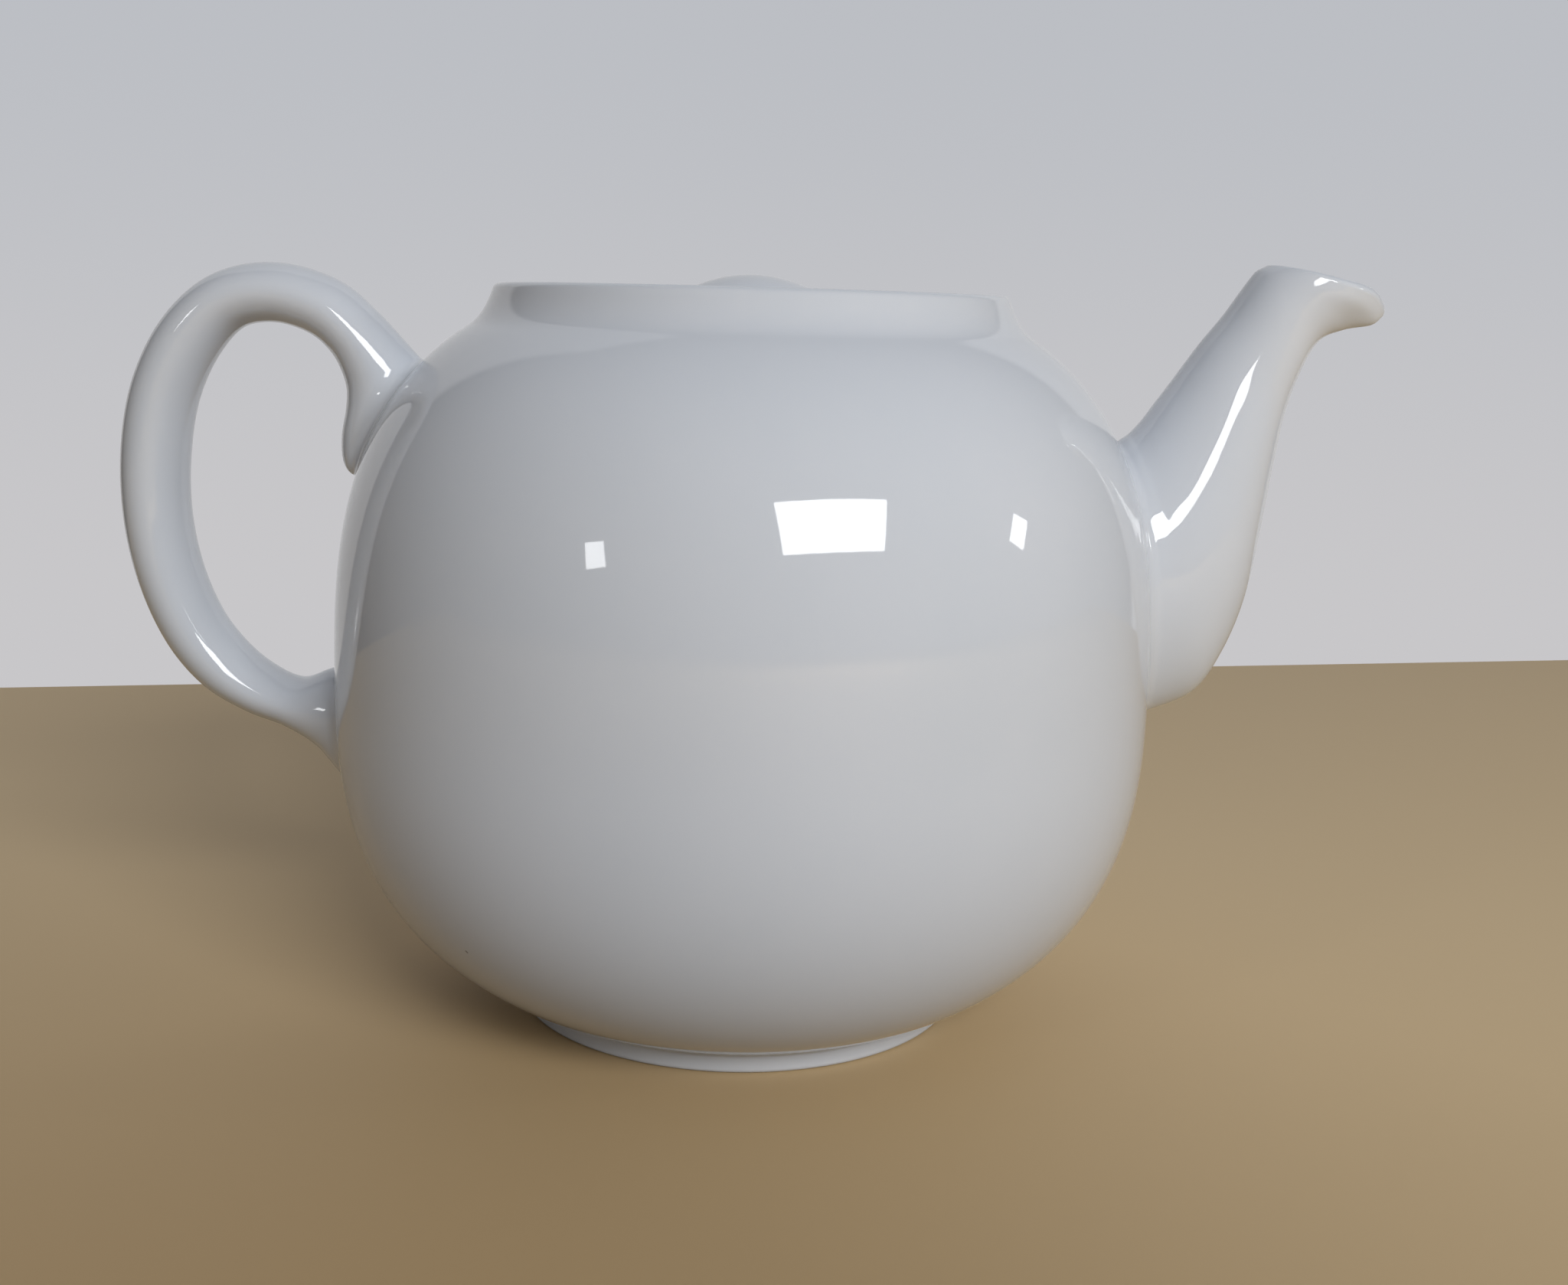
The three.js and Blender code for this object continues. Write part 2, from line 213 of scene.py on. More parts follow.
# Wall as the camera sees it, low and high, and what lights the pot from the wall and from the room
WALL_LOW = (0.578, 0.571, 0.586)
WALL_HIGH = (0.503, 0.518, 0.552)
WALL_LIGHT = (0.60, 0.60, 0.61)
ROOM_LEFT = (0.05, 0.05, 0.055)
ROOM_RIGHT = (0.21, 0.21, 0.22)
CEILING = (0.115, 0.115, 0.125)

# Directions where the room changes: the wall's edges as shares of the way ahead, then heights and sides
WALL_LEFT_EDGE = (-1.2, -1.0)
WALL_RIGHT_EDGE = (1.1, 0.95)
WALL_TOP_EDGE = (2.4, 2.1)
WALL_SLANT = 0.45
WALL_FADE = (-0.17, 0.17)
ROOM_FADE = (-1.0, 1.0)
CEILING_FADE = (0.3, 1.0)
LEAST_AHEAD = 0.001

# Windows: name, centre in metres, way to it, way its width runs, width and height in metres, and watts
DAYLIGHT = (0.97, 0.985, 1.0)
WINDOWS = [
    ("window", (0.597, -1.286, 0.821), (0.172, -0.661, 0.731), (0.959, 0.281, 0.029), (0.789, 0.445), 15.0),
    ("window_right", (1.579, -0.258, 0.56), (1, -0.17, 0), (0.17, 1, -0.85), (0.14, 0.21), 1.0),
    ("window_left", (-1.041, -1.216, 0.56), (-1, -1.11, 0), (0.74, -0.67, 0.3), (0.15, 0.19), 0.9),
]

# Spout stations: x and z at the back, x and z at the front, as shares of the reach and of the rim height.
# Then shares of the half width, of the side edges' lift, of the front's narrowing and of the nose.
SPOUT_STATIONS = [
    (0.520, 0.740, 0.590, 0.405, 0.930, 0.0, 0.0, 0.0),
    (0.590, 0.803, 0.668, 0.428, 0.975, 0.0, 0.0, 0.0),
    (0.611, 0.818, 0.735, 0.456, 0.951, 0.0, 0.0, 0.0),
    (0.631, 0.838, 0.777, 0.513, 0.891, 0.0, 0.0, 0.0),
    (0.648, 0.860, 0.808, 0.589, 0.817, 0.0, 0.0, 0.0),
    (0.668, 0.885, 0.825, 0.679, 0.730, 0.0, 0.0, 0.0),
    (0.691, 0.915, 0.839, 0.774, 0.637, 0.0, 0.0, 0.0),
    (0.717, 0.948, 0.852, 0.848, 0.555, 0.0, 0.0, 0.0),
    (0.747, 0.982, 0.870, 0.902, 0.511, 0.0, 0.0, 0.0),
    (0.773, 1.016, 0.897, 0.949, 0.489, 0.2, 0.05, 0.0),
    (0.786, 1.033, 0.938, 0.967, 0.489, 0.5, 0.2, 0.4),
    (0.796, 1.044, 0.983, 0.975, 0.495, 0.9, 0.3, 0.8),
    (0.810, 1.051, 0.999, 0.986, 0.490, 1.0, 0.4, 1.0),
]
MOUTH_PLACE = len(SPOUT_STATIONS) - 1

# Handle stations: out and up as shares of the reach and of the rim height.
# Then shares of the half depth and of the half width, and the depth line's lean in degrees.
HANDLE_STATIONS = [
    (0.526, 0.767, 2.12, 0.80, 25),
    (0.544, 0.785, 2.21, 0.90, 30),
    (0.560, 0.807, 2.13, 0.97, 34),
    (0.572, 0.834, 1.88, 1.01, 36),
    (0.579, 0.860, 1.46, 1.02, 34),
    (0.592, 0.889, 1.17, 1.01, 37),
    (0.622, 0.927, 0.99, 1.00, 42),
    (0.671, 0.962, 0.98, 1.00, 61),
    (0.745, 0.979, 0.96, 1.00, 87),
    (0.820, 0.966, 0.95, 1.00, 117),
    (0.879, 0.918, 1.01, 1.00, 144),
    (0.921, 0.847, 1.04, 1.00, 163),
    (0.941, 0.764, 1.05, 1.00, 174),
    (0.943, 0.675, 1.03, 1.00, 183),
    (0.926, 0.591, 1.01, 1.00, 196),
    (0.891, 0.516, 0.99, 0.99, 210),
    (0.844, 0.463, 0.96, 0.97, 227),
    (0.789, 0.429, 0.85, 0.96, 242),
    (0.734, 0.410, 0.83, 0.96, 255),
    (0.685, 0.402, 1.31, 1.05, 263),
    (0.640, 0.386, 1.98, 1.25, 265),
    (0.590, 0.378, 2.35, 1.50, 265),
]
HANDLE_END = len(HANDLE_STATIONS) - 1


def arc_share(radius, full_radius, power):
    """Height of a rounded-square curve at a radius, as a share of its full height."""
    return (1 - (radius / full_radius) ** power) ** (1 / power)


lower_reach = (EQUATOR - FOOT_HEIGHT) / arc_share(FOOT_RADIUS, body_radius, LOWER_POWER)
upper_reach = (SHOULDER_HEIGHT - EQUATOR) / arc_share(SHOULDER_RADIUS, body_radius, UPPER_POWER)


def rounded_arc(full_radius, reach, power, from_radius, to_radius, count):
    """Points of a rounded-square arc between two radii."""
    start = math.acos(min(1.0, from_radius / full_radius) ** (power / 2))
    end = math.acos(min(1.0, to_radius / full_radius) ** (power / 2))
    points = []
    for angle in np.linspace(start, end, count):
        radius = full_radius * abs(math.cos(angle)) ** (2 / power)
        points.append((radius, EQUATOR + reach * abs(math.sin(angle)) ** (2 / power)))
    return points


def body_surface(height):
    """Outside radius of the body at a height, and its slope, for arrays."""
    below = height < EQUATOR
    reach = np.where(below, lower_reach, upper_reach)
    power = np.where(below, LOWER_POWER, UPPER_POWER)
    share = np.clip(np.abs(height - EQUATOR) / reach, 0, NEAR_TOP)
    rest = 1 - share ** power
    radius = body_radius * rest ** (1 / power)
    slope = body_radius * rest ** (1 / power - 1) * share ** (power - 1) / reach
    return radius, np.where(below, slope, -slope)


def above_body(points):
    """Distance of points outside the body surface, and the surface's normals there."""
    radius = np.hypot(points[..., 0], points[..., 1])
    surface, slope = body_surface(points[..., 2])
    steep = np.sqrt(1 + slope ** 2)
    flat = points[..., :2] / radius[..., None]
    normal = np.concatenate([flat, -slope[..., None]], axis=-1) / steep[..., None]
    return (radius - surface) / steep, normal


def rounded_corners(corners, step):
    """A path through (radius, height, fillet) corners, with round arcs for the fillets."""
    path = []
    for i, (x, z, fillet) in enumerate(corners):
        here = Vector((x, z))
        if fillet <= 0 or i in (0, len(corners) - 1):
            path.append((x, z))
            continue
        before = Vector(corners[i - 1][:2]) - here
        after = Vector(corners[i + 1][:2]) - here
        half = before.angle(after) / 2
        cut = min(fillet / math.tan(half), CORNER_SHARE * before.length, CORNER_SHARE * after.length)
        before.normalize()
        after.normalize()
        centre = here + (before + after).normalized() * cut / math.cos(half)
        start = here + before * cut - centre
        end = here + after * cut - centre
        sweep = math.pi - 2 * half
        count = max(4, int(start.length * sweep / step))
        for k in range(count + 1):
            a = sweep * k / count
            spoke = (start * math.sin(sweep - a) + end * math.sin(a)) / math.sin(sweep)
            path.append(tuple(centre + spoke))
    return path


def soft_curve(start, middle, end, count):
    """Points of a parabola arc after its start."""
    points = []
    for k in range(1, count + 1):
        t = k / count
        u = 1 - t
        points.append(tuple(u * u * a + 2 * u * t * b + t * t * c for a, b, c in zip(start, middle, end)))
    return points


def new_piece(name, points, faces, material):
    """A smooth mesh object from points in millimetres."""
    mesh = bpy.data.meshes.new(name)
    mesh.from_pydata([tuple(c * MM for c in p) for p in points], [], faces)
    mesh.polygons.foreach_set("use_smooth", [True] * len(mesh.polygons))
    mesh.materials.append(material)
    mesh.update()
    piece = bpy.data.objects.new(name, mesh)
    bpy.context.scene.collection.objects.link(piece)
    return piece


def turned(name, outline, facets, material):
    """A piece turned about the upright axis from an outline that starts and ends on the axis."""
    points = [(0.0, 0.0, outline[0][1])]
    for radius, height in outline[1:-1]:
        for k in range(facets):
            angle = 2 * math.pi * k / facets
            points.append((radius * math.cos(angle), radius * math.sin(angle), height))
    points.append((0.0, 0.0, outline[-1][1]))
    rings = len(outline) - 2
    faces = []
    for k in range(facets):
        after = (k + 1) % facets
        faces.append((0, 1 + after, 1 + k))
        for i in range(rings - 1):
            low = 1 + i * facets
            high = low + facets
            faces.append((low + k, low + after, high + after, high + k))
        last = 1 + (rings - 1) * facets
        faces.append((last + k, last + after, len(points) - 1))
    return new_piece(name, points, faces, material)


def skinned_grid(name, grid, material, wrapped):
    """A closed piece from rings of points; an unwrapped grid gets end caps."""
    rings, around = grid.shape[:2]
    points = grid.reshape(-1, 3).tolist()
    faces = []
    for i in range(rings if wrapped else rings - 1):
        here = i * around
        after = ((i + 1) % rings) * around
        for j in range(around):
            k = (j + 1) % around
            faces.append((here + j, here + k, after + k, after + j))
    if not wrapped:
        for ring, turn in ((0, True), (rings - 1, False)):
            centre = len(points)
            points.append(grid[ring].mean(axis=0).tolist())
            for j in range(around):
                a = ring * around + j
                b = ring * around + (j + 1) % around
                faces.append((centre, b, a) if turn else (centre, a, b))
    return new_piece(name, points, faces, material)


def between_stations(stations, places):
    """Smooth station values at each place, where a place is a station number and a share."""
    table = np.array(stations, float)
    low = np.clip(np.floor(places).astype(int), 0, len(table) - 2)
    t = (places - low)[..., None]
    last = len(table) - 1
    a, b, c, d = (table[np.clip(low + k, 0, last)] for k in (-1, 0, 1, 2))
    bend = 2 * a - 5 * b + 4 * c - d
    twist = 3 * (b - c) + d - a
    return b + 0.5 * t * (c - a + t * (bend + t * twist))


def outward(point_at, places, angles, turn):
    """Outward normals of a piece's surface at station places and angles."""
    along = point_at(places + SLOPE_STEP, angles) - point_at(places - SLOPE_STEP, angles)
    across = point_at(places, angles + SLOPE_STEP) - point_at(places, angles - SLOPE_STEP)
    normal = np.cross(along, across) * turn
    return normal / np.linalg.norm(normal, axis=-1, keepdims=True)


def leaves_body(point_at, angles, level, end=SEARCH_END):
    """For each angle, the place where the surface passes a level above the body."""
    low = np.full(angles.shape, SEARCH_START)
    high = np.full(angles.shape, end)
    for _ in range(SEARCH_HALVINGS):
        middle = (low + high) / 2
        height, _ = above_body(point_at(middle, angles))
        outside = height > level
        high = np.where(outside, middle, high)
        low = np.where(outside, low, middle)
    return high


def root_rings(point_at, angles, side_fillet, turn, end=SEARCH_END):
    """Rings that leave the body in a round fillet from just under its surface, and the last one's places."""
    fillet = EDGE_FILLET + side_fillet * np.sin(angles) ** 2
    levels = [np.full(angles.shape, -TUCK_DEPTH)]
    for k in range(FILLET_RINGS):
        levels.append(fillet * (1 - math.cos(math.pi / 2 * k / (FILLET_RINGS - 1))) - FILLET_SINK)
    places = np.array([leaves_body(point_at, angles, level, end) for level in levels])
    spread = np.broadcast_to(angles, places.shape)
    points = point_at(places, spread)
    normals = outward(point_at, places, spread, turn)
    height, body_normal = above_body(points)
    height = height + FILLET_SINK
    low = np.clip(fillet - height, 0, fillet)
    push = fillet - np.sqrt(np.maximum(fillet ** 2 - low ** 2, 0))
    push = push + TUCK_REACH * np.clip(-height / (TUCK_DEPTH - FILLET_SINK), 0, 1)
    flat = normals - (normals * body_normal).sum(-1, keepdims=True) * body_normal
    flat /= np.maximum(np.linalg.norm(flat, axis=-1, keepdims=True), TINY)
    return points + flat * push[..., None], places[-1]


def nose_shape(share):
    """Hump of the beak's nose over the spout's depth, with a top of one near the front."""
    top = 6 / 7
    return share ** 6 * (1 - share) / (top ** 6 * (1 - top))


def spout_point(places, angles):
    """Outside of the spout at station places and angles round it, from the back."""
    back_x, back_z, front_x, front_z, half, lift, beak, nose = np.moveaxis(
        between_stations(SPOUT_STATIONS, places), -1, 0)
    share = (1 - np.cos(angles)) / 2
    side = np.sin(angles)
    x = SPOUT_REACH * (back_x + (front_x - back_x) * share)
    y = SPOUT_HALF_WIDTH * half * side * (1 - beak * share ** 3)
    z = rim_height * (back_z + (front_z - back_z) * share)
    z = z + LIP_LIFT * lift * side ** 2 + NOSE_RISE * nose * nose_shape(share)
    return np.stack([x, y, z], axis=-1)


def handle_point(places, angles):
    """Surface of the handle at station places and angles round it, from the outer side."""
    out, up, depth, wide, lean = np.moveaxis(between_stations(HANDLE_STATIONS, places), -1, 0)
    offset = HANDLE_HALF_DEPTH * depth * np.cos(angles)
    lean = np.radians(lean)
    x = -HANDLE_REACH * out + offset * np.cos(lean)
    y = HANDLE_HALF_WIDTH * wide * np.sin(angles)
    z = rim_height * up + offset * np.sin(lean)
    return np.stack([x, y, z], axis=-1)


def make_spout(material):
    """Hollow spout: outside with its fillet, rounded lip, and inside back to the body."""
    angles = np.linspace(0, 2 * math.pi, SPOUT_FACETS, endpoint=False)
    dense = np.linspace(0, 1, SPOUT_RINGS)[:, None]

    def inside(places, at):
        return spout_point(places, at) - outward(spout_point, places, at, 1) * SPOUT_WALL

    root, root_end = root_rings(spout_point, angles, SPOUT_SIDE_FILLET, 1)
    places = root_end + (MOUTH_PLACE - root_end) * dense[1:]
    outer = np.concatenate([root, spout_point(places, np.broadcast_to(angles, places.shape))])
    inner_root = leaves_body(inside, angles, -TUCK_DEPTH)
    inner_places = inner_root + (MOUTH_PLACE - inner_root) * dense
    inner = inside(inner_places, np.broadcast_to(angles, inner_places.shape))
    out_edge = outer[-1]
    in_edge = inner[-1]
    onward = outer[-1] - outer[-2]
    onward /= np.linalg.norm(onward, axis=-1, keepdims=True)
    half = (out_edge - in_edge) / 2
    size = np.linalg.norm(half, axis=-1, keepdims=True)
    lip = [(out_edge + in_edge) / 2 + half * math.cos(a) + onward * size * math.sin(a) * LIP_ROUND
           for a in np.linspace(0, math.pi, LIP_RINGS)[1:-1]]
    grid = np.concatenate([outer, np.array(lip), inner[::-1]])
    return skinned_grid("spout_glazed", grid, material, True)


def make_handle(material):
    """Handle with its fillets at both ends and its tail at the upper one."""
    angles = np.linspace(0, 2 * math.pi, HANDLE_FACETS, endpoint=False)

    def backwards(places, at):
        return handle_point(HANDLE_END - places, at)

    upper, upper_end = root_rings(handle_point, angles, HANDLE_HIGH_FILLET, -1, SEARCH_END_TAIL)
    lower, lower_end = root_rings(backwards, angles, HANDLE_LOW_FILLET, 1)
    share = ((1 - np.cos(np.linspace(0, math.pi, HANDLE_RINGS))) / 2)[1:-1, None]
    places = upper_end + (HANDLE_END - lower_end - upper_end) * share
    middle = handle_point(places, np.broadcast_to(angles, places.shape))
    grid = np.concatenate([upper, middle, lower[::-1]])
    return skinned_grid("handle_glazed", grid, material, False)


def pins(centres, radius, length, axis):
    """Points and faces of closed round pins along x or z."""
    points = []
    faces = []
    for centre in centres:
        base = len(points)
        for end in (-length / 2, length / 2):
            for k in range(PIN_FACETS):
                u = radius * math.cos(2 * math.pi * k / PIN_FACETS)
                v = radius * math.sin(2 * math.pi * k / PIN_FACETS)
                offset = (end, u, v) if axis == "x" else (u, v, end)
                points.append(tuple(c + o for c, o in zip(centre, offset)))
        low = [base + k for k in range(PIN_FACETS)]
        high = [k + PIN_FACETS for k in low]
        for k in range(PIN_FACETS):
            after = (k + 1) % PIN_FACETS
            faces.append((low[k], low[after], high[after], high[k]))
        faces += [tuple(low[::-1]), tuple(high)]
    return points, faces


def pierce(piece, centres, radius, length, axis):
    """Cuts round holes along x or z through a piece, all in one go."""
    points, faces = pins(centres, radius, length, axis)
    cutter = new_piece("cutter", points, faces, piece.data.materials[0])
    change = piece.modifiers.new("cut", "BOOLEAN")
    change.operation = "DIFFERENCE"
    change.solver = "EXACT"
    change.object = cutter
    depsgraph = bpy.context.evaluated_depsgraph_get()
    mesh = bpy.data.meshes.new_from_object(piece.evaluated_get(depsgraph))
    piece.modifiers.clear()
    old = piece.data
    piece.data = mesh
    bpy.data.meshes.remove(old)
    bpy.data.objects.remove(cutter)


def strain(body):
    """Cuts the rows of strainer holes through the wall behind the spout."""
    root = SPOUT_STATIONS[1]
    middle = rim_height * (root[1] + root[3]) / 2
    row_pitch = STRAINER_PITCH * math.sqrt(3) / 2
    centres = []
    for row, count in enumerate(STRAINER_ROWS):
        height = middle + (row - (len(STRAINER_ROWS) - 1) / 2) * row_pitch
        for k in range(count):
            across = (k - (count - 1) / 2) * STRAINER_PITCH
            centres.append((body_radius - WALL / 2, across, height))
    pierce(body, centres, STRAINER_RADIUS, STRAINER_PIN_LENGTH, "x")


def make_body(material):
    """Body with its foot ring, rim, collar and hanging gallery, and the strainer's holes."""
    foot_bore = FOOT_RADIUS - FOOT_WIDTH
    foot_side = FOOT_RADIUS + FOOT_FLARE
    inner_radius = body_radius - WALL
    inner_reach = upper_reach - WALL
    hanger_top = EQUATOR + inner_reach * arc_share(HANGER_RADIUS, inner_radius, UPPER_POWER)
    ledge_bottom = SEAT_HEIGHT - LEDGE_THICKNESS
    rim_top = RIM_RADIUS - RIM_TOP_IN
    rim_side = (rim_top + RIM_LEAN, rim_height - RIM_SIDE)
    bend = (SHOULDER_RADIUS - NECK_CURVE_IN, SHOULDER_HEIGHT + NECK_CURVE_UP)
    below = rounded_arc(
        body_radius, -lower_reach, LOWER_POWER, foot_side + FOOT_NECK_OUT, body_radius, OUTSIDE_POINTS)
    above = rounded_arc(body_radius, upper_reach, UPPER_POWER, body_radius, SHOULDER_RADIUS, OUTSIDE_POINTS)
    foot = rounded_corners([
        (0, FOOT_RECESS, 0),
        (foot_bore - FOOT_BORE_IN, FOOT_RECESS, 2),
        (foot_bore + FOOT_BORE_OUT, 0, 0.8),
        (foot_side - FOOT_SIDE_IN, 0, 0.9),
        (foot_side, FOOT_HEIGHT + FOOT_SIDE_UP, 0.8),
        (*below[0], 0),
    ], FOOT_STEP)
    rim = rounded_corners([
        (*rim_side, 0),
        (rim_top, rim_height, RIM_ROUND),
        (COLLAR_BORE, rim_height, RIM_ROUND),
        (COLLAR_BORE, SEAT_HEIGHT, 1.0),
        (LEDGE_BORE, SEAT_HEIGHT, 1.2),
        (LEDGE_BORE, ledge_bottom, 1.4),
        (HANGER_RADIUS, ledge_bottom, 2.5),
        (HANGER_RADIUS, hanger_top, 0),
    ], CORNER_STEP)
    inside_top = rounded_arc(
        inner_radius, inner_reach, UPPER_POWER, HANGER_RADIUS, inner_radius, INSIDE_POINTS)
    inside_low = rounded_arc(
        inner_radius, FLOOR_HEIGHT - EQUATOR, LOWER_POWER, inner_radius, 0, INSIDE_POINTS)
    neck = soft_curve(above[-1], bend, rim_side, NECK_POINTS)
    outline = [*foot[:-1], *below, *above[1:], *neck, *rim[1:], *inside_top[1:], *inside_low[1:]]
    body = turned("pot_body_glazed", outline, BODY_FACETS, material)
    strain(body)
    return body


def make_lid(material):
    """Lid with its domed top, rounded edge, hanging flange and vent."""
    flange_bore = FLANGE_RADIUS - FLANGE_WALL
    edge = (lid_radius - LID_EDGE, LID_SHOULDER + LID_EDGE_UP)
    top = soft_curve(edge, (LID_BEND * lid_radius, lid_top), (0, lid_top), LID_POINTS)
    outline = rounded_corners([
        (0, LID_BOTTOM, 0),
        (flange_bore, LID_BOTTOM, 1.5),
        (flange_bore, flange_foot, 1.6),
        (FLANGE_RADIUS, flange_foot, 1.6),
        (FLANGE_RADIUS, LID_BOTTOM, 0.8),
        (lid_radius, LID_BOTTOM, 0.9),
        (lid_radius, LID_SHOULDER, 1.3),
        (*edge, 0),
    ], CORNER_STEP)
    lid = turned("lid_glazed", [*outline, *top], LID_FACETS, material)
    pierce(lid, [(-VENT_REACH, 0, VENT_MIDDLE)], VENT_RADIUS, VENT_PIN_LENGTH, "z")
    return lid


def knob_dome(radius):
    """Height of the knob's domed top at a radius."""
    return knob_top - KNOB_BALL_RADIUS + math.sqrt(KNOB_BALL_RADIUS ** 2 - radius ** 2)


def make_knob(material):
    """Disc knob on a waisted stem that flares onto the lid."""
    cap = knob_radius - KNOB_EDGE
    edge = knob_dome(cap)
    under = edge - KNOB_SIDE
    foot = knob_box[0].z / MM - KNOB_SINK
    stem = (foot + under) / 2
    bend = KNOB_WAIST + STEM_BEND_OUT
    outline = [(0, foot), (KNOB_FOOT, foot)]
    outline += soft_curve((KNOB_FOOT, foot), (bend, foot + STEM_BEND_LOW), (KNOB_WAIST, stem), STEM_POINTS)
    outline += soft_curve((KNOB_WAIST, stem), (bend, under - STEM_BEND_HIGH), (cap, under), STEM_POINTS)
    side = (knob_radius + KNOB_BULGE, (edge + under) / 2, KNOB_ROUND)
    outline += rounded_corners([(cap, under, 0), side, (cap, edge, 0)], KNOB_STEP)[1:]
    outline += [(cap * share, knob_dome(cap * share)) for share in np.linspace(1, 0, DOME_POINTS)[1:]]
    return turned("knob_glazed", outline, KNOB_FACETS, material)


def node(tree, kind, at, **values):
    """Adds a shader node and sets its attributes."""
    made = tree.nodes.new(kind)
    made.location = at
    for name, value in values.items():
        setattr(made, name, value)
    return made


def math_node(tree, at, operation, *values):
    """A maths node whose inputs are numbers or other nodes' outputs."""
    made = node(tree, "ShaderNodeMath", at, operation=operation)
    for socket, value in zip(made.inputs, values):
        if isinstance(value, (int, float)):
            socket.default_value = value
        else:
            tree.links.new(value, socket)
    return made.outputs[0]


def soft_step(tree, at, value, low, high):
    """Rises smoothly from zero to one as a value goes from low to high."""
    made = node(tree, "ShaderNodeMapRange", at, interpolation_type="SMOOTHSTEP")
    tree.links.new(value, made.inputs["Value"])
    made.inputs["From Min"].default_value = low
    made.inputs["From Max"].default_value = high
    return made.outputs["Result"]


def blend_colour(tree, at, factor, first, second, how="MIX"):
    """Blends two colours, each a value or another node's output."""
    made = node(tree, "ShaderNodeMix", at, data_type="RGBA", blend_type=how)
    tree.links.new(factor, made.inputs["Factor"])
    for socket, value in ((made.inputs["A"], first), (made.inputs["B"], second)):
        if isinstance(value, tuple):
            socket.default_value = (*value, 1)
        else:
            tree.links.new(value, socket)
    return made.outputs["Result"]


def noise(tree, at, place, scale, detail):
    """A noise texture's value."""
    made = node(tree, "ShaderNodeTexNoise", at)
    made.inputs["Scale"].default_value = scale
    made.inputs["Detail"].default_value = detail
    tree.links.new(place, made.inputs["Vector"])
    return made.outputs["Fac"]


def ramp(tree, at, factor, low, high, ends=(0, 1)):
    """A colour that runs from low to high as a factor goes from one end to the other."""
    made = node(tree, "ShaderNodeValToRGB", at)
    for element, colour, end in zip(made.color_ramp.elements, (low, high), ends):
        element.position = end
        element.color = (*colour, 1)
    tree.links.new(factor, made.inputs["Fac"])
    return made.outputs["Color"]


def bump(tree, at, height, strength, distance):
    """A bump node over a height."""
    made = node(tree, "ShaderNodeBump", at)
    made.inputs["Strength"].default_value = strength
    made.inputs["Distance"].default_value = distance
    tree.links.new(height, made.inputs["Height"])
    return made


def new_material(name):
    """A material, its node tree and its main shader."""
    material = bpy.data.materials.new(name)
    material.use_nodes = True
    tree = material.node_tree
    return material, tree, tree.nodes["Principled BSDF"]


def make_porcelain():
    """Clear glaze over white porcelain: soft colour drift, orange peel, wavy gloss and rare specks."""
    material, tree, shader = new_material("white_glaze")
    link = tree.links.new
    place = node(tree, "ShaderNodeTexCoord", (-1400, 0)).outputs["Object"]
    drift = noise(tree, (-1100, 300), place, *DRIFT_NOISE)
    tint = ramp(tree, (-850, 300), drift, GLAZE_LOW, GLAZE_HIGH, GLAZE_SPREAD)

    cells = node(tree, "ShaderNodeTexVoronoi", (-1100, -50))
    cells.inputs["Scale"].default_value = SPECK_SCALE
    link(place, cells.inputs["Vector"])
    split = node(tree, "ShaderNodeSeparateColor", (-850, -250))
    link(cells.outputs["Color"], split.inputs["Color"])
    small = math_node(tree, (-850, -50), "LESS_THAN", cells.outputs["Distance"], SPECK_SIZE)
    rare = math_node(tree, (-650, -250), "GREATER_THAN", split.outputs["Red"], SPECK_RARITY)
    speck = math_node(tree, (-450, -100), "MULTIPLY", small, rare)
    link(blend_colour(tree, (-250, 200), speck, tint, SPECK_COLOUR), shader.inputs["Base Color"])

    wave = bump(tree, (-700, -700), noise(tree, (-1100, -750), place, *WAVE_NOISE), *WAVE_BUMP)
    peel = bump(tree, (-450, -600), noise(tree, (-1100, -500), place, *PEEL_NOISE), *PEEL_BUMP)
    link(wave.outputs["Normal"], peel.inputs["Normal"])
    link(peel.outputs["Normal"], shader.inputs["Normal"])

    gloss = node(tree, "ShaderNodeMapRange", (-450, -350))
    gloss.inputs["To Min"].default_value = GLAZE_ROUGHNESS[0]
    gloss.inputs["To Max"].default_value = GLAZE_ROUGHNESS[1]
    link(drift, gloss.inputs["Value"])
    link(gloss.outputs["Result"], shader.inputs["Roughness"])
    shader.inputs["IOR"].default_value = GLAZE_IOR
    return material


